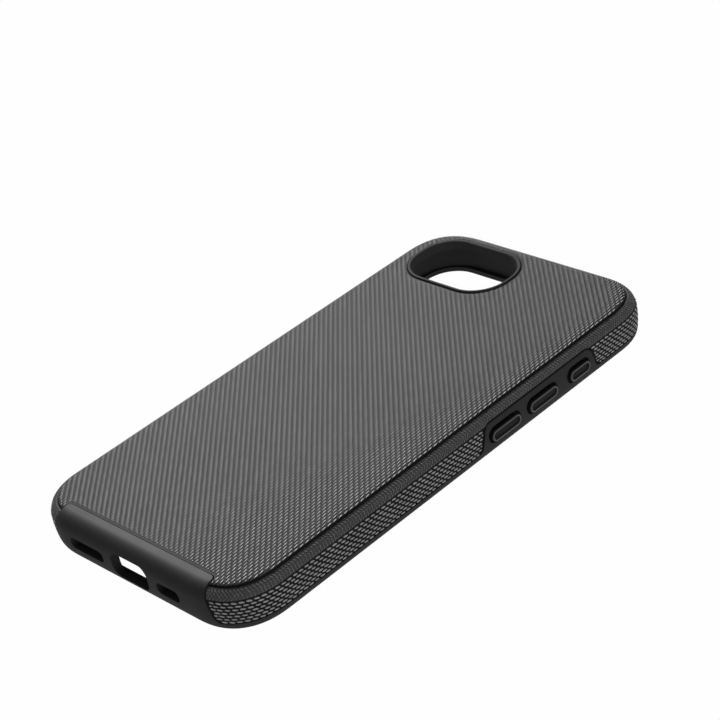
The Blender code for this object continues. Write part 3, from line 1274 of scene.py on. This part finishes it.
    def wall_seats(self) -> list[Seat]:
        """The threads of the side walls: rows round the case, staggered like bricks.

        Returns:
            Their seats.
        """
        seats: list[Seat] = []
        for row in range(self.row_count):
            height = self.row_first + row * self.row_pitch
            seats += self.ring_seats(
                height, 2 * self.pitch, row % 2 / 2,
                Vector((self.wall_half_length, self.wall_half_width, self.rise)),
                self.wall_slant,
            )
        return seats

    def band_seats(self) -> list[Seat]:
        """The fine low threads of the band between the walls and the crease.

        Returns:
            Their seats.
        """
        seats: list[Seat] = []
        reach = Vector((self.band_half_length, self.band_half_width, self.band_rise))
        for row in range(self.band_rows):
            share = row / (self.band_rows - 1)
            height = self.band_low + (self.band_high - self.band_low) * share
            slant = self.band_slant if row < self.band_rows / 2 else -self.band_slant
            seats += self.ring_seats(height, self.pitch, row % 2 / 2, reach, slant)
        return seats

    def ring_seats(
        self, height: float, step: float, shift: float, reach: Vector, slant: float
    ) -> list[Seat]:
        """One row of threads round the wall at a height, clear of the notches.

        Args:
            height: The row's height.
            step: From one thread to the next.
            shift: How far round the row starts, as a share of a step.
            reach: A whole thread's half length, half width and rise.
            slant: How far each thread is turned against the row, in degrees.

        Returns:
            The row's seats.
        """
        inset = self.form.wall_inset(height)
        points = self.form.footprint(inset)
        points.append(EdgePoint(
            points[-1].run + math.hypot(points[-1].x - points[0].x, points[-1].y - points[0].y),
            points[0].x, points[0].y, points[0].normal,
        ))
        total = points[-1].run
        count = 2 * round(total / step / 2)
        step = total / count
        lean = self.form.wall_lean(height)
        bumper = Area(tuple(self.notches.bumper().grown(self.edge_room).points()))
        bumper_end = -self.form.length / 2 + self.notches.bumper_depth
        windows = {
            side.sign: Area(tuple(self.notches.window(side).grown(self.edge_room).points()))
            for side in Side
        }

        def place(run: float) -> EdgePoint:
            """The point of the wall that lies a distance round it.

            Args:
                run: The distance.

            Returns:
                The point.
            """
            run = run % total
            index = max(i for i, p in enumerate(points) if p.run <= run)
            one, two = points[index], points[min(index + 1, len(points) - 1)]
            share = (run - one.run) / max(two.run - one.run, WELD)
            normal = one.normal.lerp(two.normal, share).normalized()
            return EdgePoint(
                run, one.x + (two.x - one.x) * share, one.y + (two.y - one.y) * share, normal
            )

        def free(run: float) -> bool:
            """Whether a thread may cover the wall a distance round it.

            Args:
                run: The distance.

            Returns:
                True if neither the bumper nor a window is there.
            """
            p = place(run)
            if p.y < bumper_end and bumper.holds(p.x, height):
                return False
            sign = 1 if p.x > 0 else -1
            on_side = abs(p.normal.x) >= self.side_facing
            return not (on_side and windows[sign].holds(sign * p.y, height))

        seats = []
        for index in range(count):
            middle = (index + shift) * step
            kept = self.trimmed(reach.x, lambda t: free(middle + t))
            if not kept:
                continue
            p = place(middle + kept[0])
            facing = Vector((p.normal.x * lean.x, p.normal.y * lean.x, lean.y))
            ground = Vector((p.x, p.y, height)) - facing * self.rise
            along = Matrix.Rotation(math.radians(slant), 3, facing) @ Vector(
                (-p.normal.y, p.normal.x, 0.0)
            )
            seats.append(Seat(ground, facing, along, Vector((kept[1], reach.y, reach.z))))
        return seats

    def dress(
        self, thread: bpy.types.Material, wall: bpy.types.Material, band: bpy.types.Material
    ) -> None:
        """Builds each field of threads and puts it on the shell's body in the frame.

        Args:
            thread: The finish of the back's threads.
            wall: The finish of the side walls' threads.
            band: The finish of the edge band's threads.
        """
        tree = build_thread_tree()
        back = self.back_seats()
        left = [seat for seat in back if seat.point.x < 0]
        right = [seat for seat in back if seat.point.x >= 0]
        fields = (
            ("weave_back_left", left, thread, self.thread_taper),
            ("weave_back_right", right, thread, self.thread_taper),
            ("weave_walls", self.wall_seats(), wall, self.wall_taper),
            ("weave_band", self.band_seats(), band, self.band_taper),
        )
        for name, seats, finish, taper in fields:
            made = thread_field(name, seats, tree, finish, taper)
            dress(made, finish, "shell", "shell_plastic")


def build_thread_tree() -> bpy.types.NodeTree:
    """Geometry Nodes that put one low pillow on each seat, turned and stretched by it.

    The pillow is a drum whose corners are pushed in towards a domed top. It leans and tapers
    along X, and its crown attribute goes from 0 at the ground to 1 at the top of its head; the
    finish uses it to paint the flanks with painted shade and the head with a painted highlight.

    Returns:
        The nodes, with the pillow's form as inputs.
    """
    drum_radius = 1.06  # in half widths, because the flats lie inside the corners
    first_corner = math.radians(22.5)
    tree = bpy.data.node_groups.new("raised_threads", "GeometryNodeTree")
    interface = tree.interface
    interface.new_socket("Geometry", in_out="INPUT", socket_type="NodeSocketGeometry")
    for name, kind, value in (
        ("Corners", "NodeSocketInt", 8), ("Roundness", "NodeSocketFloat", 0.82),
        ("Sink", "NodeSocketFloat", 0.5), ("Lean", "NodeSocketFloat", 0.12),
        ("Taper", "NodeSocketFloat", 0.35), ("Uneven", "NodeSocketFloat", 0.12),
        ("Seed", "NodeSocketInt", 4),
    ):
        interface.new_socket(name, in_out="INPUT", socket_type=kind).default_value = value
    interface.new_socket("Finish", in_out="INPUT", socket_type="NodeSocketMaterial")
    interface.new_socket("Geometry", in_out="OUTPUT", socket_type="NodeSocketGeometry")
    start = add_node(tree, "NodeGroupInput").outputs
    end = add_node(tree, "NodeGroupOutput")

    def seat_value(name: str) -> bpy.types.NodeSocket:
        """One of a seat's vectors.

        Args:
            name: The attribute that holds it.

        Returns:
            Its socket.
        """
        return add_node(
            tree, "GeometryNodeInputNamedAttribute", {"Name": name}, data_type="FLOAT_VECTOR"
        ).outputs["Attribute"]

    def number(operation: str, *values: float | bpy.types.NodeSocket) -> bpy.types.NodeSocket:
        """A Math node's result."""
        return math_node(tree, operation, *values)

    depth = number("ADD", start["Sink"], 1.0)
    drum = add_node(tree, "GeometryNodeMeshCylinder", {
        "Vertices": start["Corners"], "Side Segments": 2, "Radius": drum_radius, "Depth": depth,
    }).outputs["Mesh"]
    drop = number("MULTIPLY", number("SUBTRACT", 1.0, start["Sink"]), 0.5)
    lift = add_node(tree, "ShaderNodeCombineXYZ", {"Z": drop}).outputs["Vector"]
    drum = add_node(tree, "GeometryNodeTransform", {
        "Geometry": drum, "Translation": lift, "Rotation": (0.0, 0.0, first_corner),
    }).outputs["Geometry"]
    place = add_node(tree, "GeometryNodeInputPosition").outputs["Position"]
    split = add_node(tree, "ShaderNodeSeparateXYZ", {"Vector": place}).outputs
    level = number("MAXIMUM", split["Z"], 0.0)
    fall = number("MULTIPLY", number("MULTIPLY", level, level), start["Roundness"])
    narrow = number("SQRT", number("SUBTRACT", 1.0, fall))
    back = number("MULTIPLY", number("SUBTRACT", 1.0, split["X"]), 0.5)
    tail = number("SUBTRACT", 1.0, number("MULTIPLY", back, start["Taper"]))
    factors = add_node(tree, "ShaderNodeCombineXYZ", {
        "X": number("SQRT", number("SQRT", narrow)), "Y": number("MULTIPLY", narrow, tail),
        "Z": tail,
    }).outputs["Vector"]
    domed = add_node(
        tree, "ShaderNodeVectorMath", {0: place, 1: factors}, operation="MULTIPLY"
    ).outputs["Vector"]
    lean = add_node(
        tree, "ShaderNodeCombineXYZ", {"X": number("MULTIPLY", level, start["Lean"])}
    ).outputs["Vector"]
    # The crown value, lower along the tapered tail, paints the head as a painted highlight and the
    # flanks as painted shade.
    drum = add_node(
        tree, "GeometryNodeStoreNamedAttribute",
        {"Geometry": drum, "Name": "crown", "Value": number("MULTIPLY", level, tail)},
        data_type="FLOAT", domain="POINT",
    ).outputs["Geometry"]
    pillow = add_node(
        tree, "GeometryNodeSetPosition", {"Geometry": drum, "Position": domed, "Offset": lean}
    ).outputs["Geometry"]
    upright = add_node(
        tree, "FunctionNodeAlignRotationToVector", {"Vector": seat_value("facing")}, axis="Z"
    ).outputs["Rotation"]
    turned = add_node(
        tree, "FunctionNodeAlignRotationToVector",
        {"Rotation": upright, "Vector": seat_value("along")}, axis="X", pivot_axis="Z",
    ).outputs["Rotation"]
    least = number("SUBTRACT", 1.0, start["Uneven"])
    chance = add_node(
        tree, "FunctionNodeRandomValue", {"Seed": start["Seed"]}, data_type="FLOAT"
    )
    chance_low = next(s for s in chance.inputs if s.name == "Min" and s.type == "VALUE")
    tree.links.new(least, chance_low)
    amount = next(s for s in chance.outputs if s.type == "VALUE")
    size = add_node(
        tree, "ShaderNodeVectorMath", {0: seat_value("reach")}, operation="SCALE"
    )
    tree.links.new(amount, size.inputs["Scale"])
    placed = add_node(tree, "GeometryNodeInstanceOnPoints", {
        "Points": start["Geometry"], "Instance": pillow, "Rotation": turned,
        "Scale": size.outputs["Vector"],
    }).outputs["Instances"]
    tone = add_node(
        tree, "FunctionNodeRandomValue", {"Seed": start["Seed"]}, data_type="FLOAT"
    )
    named = add_node(
        tree, "GeometryNodeStoreNamedAttribute", {"Geometry": placed, "Name": "thread_tone"},
        data_type="FLOAT", domain="INSTANCE",
    )
    tree.links.new(next(s for s in tone.outputs if s.type == "VALUE"), named.inputs["Value"])
    real = add_node(
        tree, "GeometryNodeRealizeInstances", {"Geometry": named.outputs["Geometry"]}
    ).outputs["Geometry"]
    done = add_node(
        tree, "GeometryNodeSetMaterial", {"Geometry": real, "Material": start["Finish"]}
    ).outputs["Geometry"]
    tree.links.new(done, end.inputs["Geometry"])
    return tree


def thread_field(
    name: str, seats: Sequence[Seat], tree: bpy.types.NodeTree, finish: bpy.types.Material,
    taper: float,
) -> bpy.types.Object:
    """Lays threads on their seats.

    Args:
        name: The piece's name.
        seats: One for each thread.
        tree: The Geometry Nodes that lay them.
        finish: The threads' material.
        taper: How much lower and narrower each thread's tail is than its head, which also paints
            the head lighter as a painted highlight.

    Returns:
        The threads as one plain mesh.
    """
    mesh = bpy.data.meshes.new(name)
    mesh.from_pydata([seat.point for seat in seats], [], [])
    for key in ("facing", "along", "reach"):
        values = [number for seat in seats for number in getattr(seat, key)]
        mesh.attributes.new(key, "FLOAT_VECTOR", "POINT").data.foreach_set("vector", values)
    obj = link(name, mesh)
    modifier = obj.modifiers.new("threads", "NODES")
    modifier.node_group = tree
    sockets = {
        item.name: item.identifier for item in tree.interface.items_tree if item.in_out == "INPUT"
    }
    modifier[sockets["Finish"]] = finish
    modifier[sockets["Taper"]] = taper
    bake(obj)
    for key in ("facing", "along", "reach"):
        if key in obj.data.attributes:
            obj.data.attributes.remove(obj.data.attributes[key])
    obj.data.shade_smooth()
    return obj


# The sleeve and the keys


@dataclass(frozen=True)
class Port:
    """An opening in the bottom end: its middle, size and corner radius."""

    name: str
    x: float
    z: float
    width: float
    height: float
    corner: float

    @property
    def outline(self) -> Outline:
        """The opening in X and Z."""
        return Outline.box(self.width, self.height, self.corner, (self.x, self.z))


@dataclass(frozen=True)
class Pocket:
    """The recess and the slot behind one key."""

    depth: float = 0.0013
    height: float = 0.0046
    margin: float = 0.0005
    chamfer: float = 0.00022
    slot_height: float = 0.0020
    slot_inset: float = 0.0020


@dataclass(frozen=True)
class Sleeve:
    """The rubber sleeve: lined back and walls, rim strip, bumper and key pads."""

    form: CaseForm
    walls: Walls
    notches: Notches
    camera: CameraHole
    pocket: Pocket = field(default_factory=Pocket)
    phone_edge: float = 0.0010
    lip_side: float = 0.0010
    lip_end: float = 0.00095
    lip_corner: float = 0.0090
    port_chamfer: float = 0.00016
    edge_steps: int = 5
    ports: tuple[Port, ...] = (
        Port("speaker_slot", -0.0162, 0.0049, 0.0124, 0.0032, 0.0013),
        Port("charging_port", 0.0, 0.0050, 0.0132, 0.0071, 0.0025),
        Port("microphone_slot", 0.01395, 0.0049, 0.0079, 0.0032, 0.0013),
    )

    def build(self) -> bpy.types.Object:
        """Makes the sleeve's body.

        Returns:
            The body, carved and polished.
        """
        form, walls, notches = self.form, self.walls, self.notches
        band = carve(notches.below("strip", notches.strip_height), [
            (Cut.ADD, notches.bumper_solid("bumper", -walls.gap)),
            *((Cut.ADD, notches.window_solid(side.name, side, -walls.gap)) for side in Side),
        ])
        liner = form.layer(
            "liner", walls.shell + walls.gap, notches.strip_height / 2, walls.sleeve_top
        )
        cavity_inset = walls.stack - walls.phone_gap
        cavity_levels = [(cavity_inset, walls.lip)]
        for step in range(self.edge_steps + 1):
            turn = math.pi / 2 * step / self.edge_steps
            cavity_levels.append((
                cavity_inset + self.phone_edge * (1 - math.cos(turn)),
                walls.cavity_floor - self.phone_edge * (1 - math.sin(turn)),
            ))
        cavity = loft("cavity", form.rings(cavity_levels))
        screen = Outline.box(
            form.width - 2 * (walls.stack + self.lip_side),
            form.length - 2 * (walls.stack + self.lip_end), self.lip_corner,
        )
        steps = [
            (Cut.KEEP, band), (Cut.ADD, liner), (Cut.REMOVE, cavity),
            (Cut.REMOVE, prism("screen", screen, -OVERRUN, walls.lip + OVERRUN, Facing.UP)),
            (Cut.REMOVE, prism(
                "camera", self.camera.outline, walls.cavity_floor - OVERRUN,
                form.height + OVERRUN, Facing.UP,
            )),
            *((Cut.REMOVE, cutter) for cutter in self.port_cutters()),
            *((Cut.REMOVE, cutter) for cutter in self.pocket_cutters()),
        ]
        return polish(carve(form.body("sleeve_body"), steps))

    def port_cutters(self) -> Iterator[bpy.types.Object]:
        """Cuts for the ports.

        Returns:
            For each port, a hole through the bumper with a chamfered mouth.
        """
        outer = self.form.length / 2
        inner = outer - self.walls.stack - OVERRUN
        for port in self.ports:
            yield prism(
                port.name, port.outline, inner, outer + self.port_chamfer, Facing.END,
                chamfer=2 * self.port_chamfer,
            )

    def pocket_cutters(self) -> Iterator[bpy.types.Object]:
        """Cuts for the keys.

        Returns:
            For each key, a chamfered recess for its cap and a slot for its stem.
        """
        outer, pocket = self.form.width / 2, self.pocket
        for side in Side:
            for key in side.keys:
                low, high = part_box(key)
                centre = (side.sign * (low.y + high.y) / 2, (low.z + high.z) / 2)
                length = high.y - low.y + 2 * pocket.margin
                mouth = Outline.box(length, pocket.height, pocket.height / 2, centre)
                slot = Outline.box(
                    length - 2 * pocket.slot_inset, pocket.slot_height, pocket.slot_height / 2,
                    centre,
                )
                yield prism(
                    f"{key}_recess", mouth, outer - pocket.depth, outer + pocket.chamfer,
                    side.facing, chamfer=2 * pocket.chamfer,
                )
                yield prism(
                    f"{key}_slot", slot, outer - self.walls.stack - OVERRUN,
                    outer - pocket.depth / 2, side.facing,
                )

    def dress(self, rubber: bpy.types.Material) -> None:
        """Builds the sleeve's body and puts it on its body in the frame."""
        dress(self.build(), rubber, "sleeve", "sleeve_rubber", "inner_sleeve")


@dataclass(frozen=True)
class CameraRing:
    """The rubber ring that lines the camera opening and stands just proud of the back."""

    form: CaseForm
    walls: Walls
    camera: CameraHole
    outer_round: float = 0.00034
    inner_round: float = 0.00050
    proud: float = 0.0003
    inner_lap: float = 0.00001
    foot_gap: float = 0.0001
    arc_steps: int = 5

    def build(self) -> bpy.types.Object:
        """Makes the ring.

        Returns:
            The ring, as a closed loop of outlines.
        """
        top = self.form.height + self.proud
        foot = self.walls.cavity_floor + self.foot_gap
        width = self.camera.ring_width
        levels = [(-self.inner_lap, foot), (width, foot)]
        for corner, radius, start in ((width, self.outer_round, 0), (0.0, self.inner_round, 90)):
            side = 1 if corner > 0 else -1
            for step in range(self.arc_steps + 1):
                turn = math.radians(start + 90 * step / self.arc_steps)
                levels.append((
                    corner - side * radius + radius * math.cos(turn),
                    top - radius + radius * math.sin(turn),
                ))
        rings = [
            [Vector((x, y, height)) for x, y in self.camera.outline.grown(growth).points()]
            for growth, height in levels
        ]
        return polish(loft("camera_ring", rings, looped=True), SOFT_SHARP_EDGE)

    def dress(self, rubber: bpy.types.Material) -> None:
        """Builds the ring and puts it on the sleeve's body in the frame."""
        dress(self.build(), rubber, "sleeve", "sleeve_rubber")


@dataclass(frozen=True)
class PressKey:
    """A pill-shaped key on a stem, with a rounded rim round a dished middle."""

    node: str
    body: str
    side: Side
    rim_round: float = 0.00030
    rim_width: float = 0.00016
    dish_depth: float = 0.00042
    dish_width: float = 0.00055
    cap_depth: float = 0.0012
    stem_half_height: float = 0.0007
    stem_end_inset: float = 0.0018
    arc_steps: int = 14
    curve_steps: int = 5

    def build(self) -> bpy.types.Object:
        """Makes the key.

        Returns:
            The key as one closed skin, from the stem's inner end to the dish.
        """
        low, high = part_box(self.node)
        sign = self.side.sign
        top = high.x if sign > 0 else -low.x
        stem_end = low.x if sign > 0 else -high.x
        centre = (sign * (low.y + high.y) / 2, (low.z + high.z) / 2)
        length, height = high.y - low.y, high.z - low.z
        cap = Outline.box(length, height, height / 2, centre, self.arc_steps)
        stem = Outline.box(
            length - 2 * self.stem_end_inset, 2 * self.stem_half_height, self.stem_half_height,
            centre, self.arc_steps,
        )
        under = top - self.cap_depth
        levels = [(stem, stem_end, 0.0), (stem, under, 0.0), (cap, under, 0.0)]
        for step in range(self.curve_steps + 1):
            share = step / self.curve_steps
            turn = math.pi / 2 * share
            levels.append((
                cap.grown(-self.rim_round * (1 - math.cos(turn))),
                top - self.rim_round * (1 - math.sin(turn)), share**2,
            ))
        levels.append((cap.grown(-self.rim_round - self.rim_width), top, 1.0))
        for step in range(1, self.curve_steps + 1):
            share = step / self.curve_steps
            fall = (1 - math.cos(math.pi * share)) / 2
            inset = self.rim_round + self.rim_width + self.dish_width * share
            levels.append((cap.grown(-inset), top - self.dish_depth * fall, 0.0))
        rings = [
            [self.side.facing.place(x, y, depth) for x, y in outline.points()]
            for outline, depth, _ in levels
        ]
        # Crown 1 on the rim gives a painted highlight; crown 0 in the dish and on the sides gives
        # painted shade.
        crowns = [crown for _, _, crown in levels]
        skin = loft(self.node.replace("_button", "_key"), rings, crowns=crowns)
        return polish(skin, SOFT_SHARP_EDGE)

    def dress(self, rubber: bpy.types.Material) -> None:
        """Builds the key and puts it on its own body in the frame."""
        dress(self.build(), rubber, self.body, "button_rubber", self.node)


# The studio


@dataclass(frozen=True)
class Softbox:
    """A square soft light that points at the case."""

    name: str
    azimuth: float
    elevation: float
    distance: float
    size: float
    power: float

    def build(self) -> None:
        """Adds the light to the scene."""
        lamp = bpy.data.lights.new(self.name, "AREA")
        lamp.shape = "SQUARE"
        lamp.size = self.size
        lamp.energy = self.power
        obj = bpy.data.objects.new(self.name, lamp)
        bpy.context.scene.collection.objects.link(obj)
        towards = direction(self.azimuth, self.elevation)
        obj.location = towards * self.distance
        obj.rotation_mode = "QUATERNION"
        obj.rotation_quaternion = towards.to_track_quat("Z", "Y")


def direction(azimuth: float, elevation: float) -> Vector:
    """The unit vector towards a place round the case.

    Args:
        azimuth: In degrees, 0 being -Y and 90 +X.
        elevation: In degrees.

    Returns:
        The vector.
    """
    turn, tilt = math.radians(azimuth), math.radians(elevation)
    return Vector((
        math.sin(turn) * math.cos(tilt), -math.cos(turn) * math.cos(tilt), math.sin(tilt)
    ))


@dataclass(frozen=True)
class Studio:
    """The camera, a plain white floor and soft lights."""

    azimuth: float = 50.718
    elevation: float = 31.214
    roll: float = -11.931
    distance: float = 0.50539
    aim_right: float = 0.000289
    aim_up: float = 0.016952
    lens: float = 99.531
    sensor: float = 36.0
    clip: tuple[float, float] = (0.01, 20.0)
    floor_size: float = 6.0
    floor_drop: float = 0.00002
    floor_white: float = 0.99
    floor_glow: float = 0.52
    sky_light: float = 0.18
    lights: tuple[Softbox, ...] = (
        Softbox("back_softbox", 240.0, 38.0, 1.1, 0.6, 20.0),
        Softbox("top_softbox", 0.0, 88.0, 1.1, 0.9, 1.0),
        Softbox("side_fill", 98.0, 8.0, 1.2, 0.8, 3.5),
    )

    def place_camera(self) -> None:
        """Adds the camera and makes it the scene's."""
        back = direction(self.azimuth, self.elevation)
        level = UP.cross(back).normalized()
        rise = back.cross(level)
        cosine, sine = math.cos(math.radians(self.roll)), math.sin(math.radians(self.roll))
        right, up = level * cosine + rise * sine, rise * cosine - level * sine
        lens = bpy.data.cameras.new("camera")
        lens.lens, lens.sensor_width = self.lens, self.sensor
        lens.clip_start, lens.clip_end = self.clip
        camera = bpy.data.objects.new("camera", lens)
        bpy.context.scene.collection.objects.link(camera)
        place = right * self.aim_right + up * self.aim_up + back * self.distance
        camera.matrix_world = Matrix((
            (right.x, up.x, back.x, place.x), (right.y, up.y, back.y, place.y),
            (right.z, up.z, back.z, place.z), (0.0, 0.0, 0.0, 1.0),
        ))
        bpy.context.scene.camera = camera

    def lay_floor(self) -> None:
        """Adds a floor that looks plain white and throws a softer light back."""
        half = self.floor_size / 2
        mesh = bpy.data.meshes.new("floor")
        corners = ((-half, -half), (half, -half), (half, half), (-half, half))
        mesh.from_pydata([(x, y, -self.floor_drop) for x, y in corners], [], [(0, 1, 2, 3)])
        floor = link("floor", mesh)
        material = bpy.data.materials.new("white_floor")
        material.use_nodes = True
        tree = material.node_tree
        tree.nodes.clear()
        white = add_node(tree, "ShaderNodeEmission", {"Color": Finish.colour(self.floor_white)})
        cover = add_node(tree, "ShaderNodeEmission", {"Color": Finish.colour(self.floor_glow)})
        seen = add_node(tree, "ShaderNodeLightPath").outputs["Is Camera Ray"]
        mixed = add_node(
            tree, "ShaderNodeMixShader", {0: seen, 1: cover.outputs[0], 2: white.outputs[0]}
        )
        out = add_node(tree, "ShaderNodeOutputMaterial")
        tree.links.new(mixed.outputs[0], out.inputs["Surface"])
        mesh.materials.append(material)
        floor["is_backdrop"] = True

    def light_sky(self) -> None:
        """Makes the surroundings look white and light the case softly."""
        world = bpy.data.worlds.new("studio")
        bpy.context.scene.world = world
        world.use_nodes = True
        tree = world.node_tree
        tree.nodes.clear()
        seen = add_node(tree, "ShaderNodeLightPath").outputs["Is Camera Ray"]
        strength = add_node(
            tree, "ShaderNodeMix", {0: seen, 2: self.sky_light, 3: self.floor_white}
        ).outputs[0]
        sky = add_node(tree, "ShaderNodeBackground", {"Strength": strength})
        sky.inputs["Color"].default_value = (1.0, 1.0, 1.0, 1.0)
        out = add_node(tree, "ShaderNodeOutputWorld")
        tree.links.new(sky.outputs[0], out.inputs["Surface"])

    def build(self) -> None:
        """Sets up the whole studio."""
        bpy.context.scene.view_settings.view_transform = "Standard"
        self.place_camera()
        self.lay_floor()
        self.light_sky()
        for light in self.lights:
            light.build()


def main() -> None:
    """Builds the studio and every piece of the case, in order."""
    logging.basicConfig(level=logging.INFO, format="%(name)s: %(message)s")
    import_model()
    cad_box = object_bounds()
    Studio().build()
    build_grain_group()
    build_wear_group()
    ground, thread = SHELL_GROUND.make(), SHELL_THREAD.make()
    wall, band = SHELL_WALL.make(), SHELL_BAND.make()
    rubber, ring_rubber, key_rubber = (
        finish.make() for finish in (SLEEVE_RUBBER, RING_RUBBER, BUTTON_RUBBER)
    )

    form, walls = CaseForm.from_frame(), Walls()
    notches, camera = Notches(form, walls), CameraHole(form, walls)
    shell = Shell(form, walls, notches, camera)
    shell.dress(ground)
    Weave(form, notches, camera, shell.crease).dress(thread, wall, band)
    Sleeve(form, walls, notches, camera).dress(rubber)
    CameraRing(form, walls, camera).dress(ring_rubber)
    for node, body, side in (
        ("volume_down_button", "volume_down", Side.THREE_KEYS),
        ("volume_up_button", "volume_up", Side.THREE_KEYS),
        ("action_button", "action", Side.THREE_KEYS),
        ("side_button", "side", Side.ONE_KEY),
    ):
        PressKey(node, body, side).dress(key_rubber)

    boxes = {"cad": cad_box, "visual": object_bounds()}
    {key: [list(corner) for corner in box] for key, box in boxes.items()}


if __name__ == "__main__":
    main()
